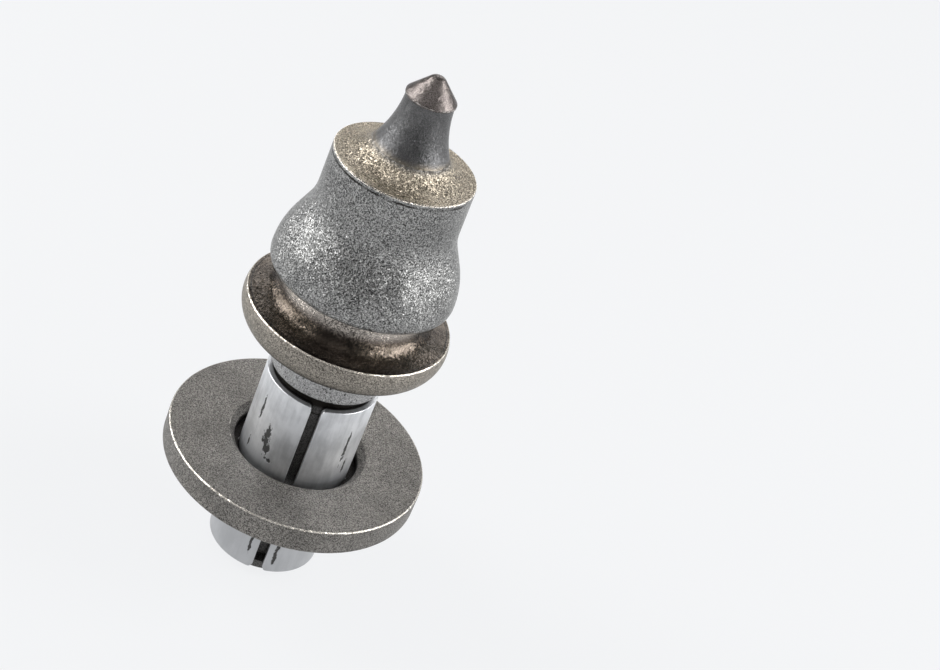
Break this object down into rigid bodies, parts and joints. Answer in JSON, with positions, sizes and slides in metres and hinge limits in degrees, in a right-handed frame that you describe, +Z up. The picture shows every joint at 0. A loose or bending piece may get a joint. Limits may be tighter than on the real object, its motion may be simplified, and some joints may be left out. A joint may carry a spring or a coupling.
{
  "type": "road milling pick",
  "caption": "Round-shank road milling pick: forged steel head with brazed carbide tip, puller groove, collar, slotted clamping sleeve and wear plate.",
  "frame": {"origin": "middle of the shank's end face, which the pick stands on", "axes": "+Z up the pick's axis from the shank's end to the carbide point; the sleeve's slot faces -Y"},
  "size_m": [0.0482, 0.0482, 0.1029],
  "materials": {
    "forged_steel": "shot-blasted forging, browned in the groove and on the collar",
    "tungsten_carbide": "smooth sintered carbide",
    "braze_brass": "dull braze with heat tint",
    "spring_steel": "bright rolled strip with scuffs",
    "plate_steel": "fine-grained hardened plate"
  },
  "bodies": {
    "sleeve": {"clamping_sleeve": "spring_steel"},
    "pick": {"pick_body": "forged_steel", "carbide_tip": "tungsten_carbide", "braze_ring": "braze_brass"},
    "plate": {"wear_plate": "plate_steel"}
  },
  "joints": [
    {"name": "pick_spin", "type": "hinge", "parent": "sleeve", "child": "pick", "pos_m": [0, 0, 0], "axis": [0, 0, 1], "continuous": true},
    {"name": "plate_slide", "type": "slide", "parent": "sleeve", "child": "plate", "axis": [0, 0, 1], "range_m": [-0.018, 0.0254]}
  ]
}
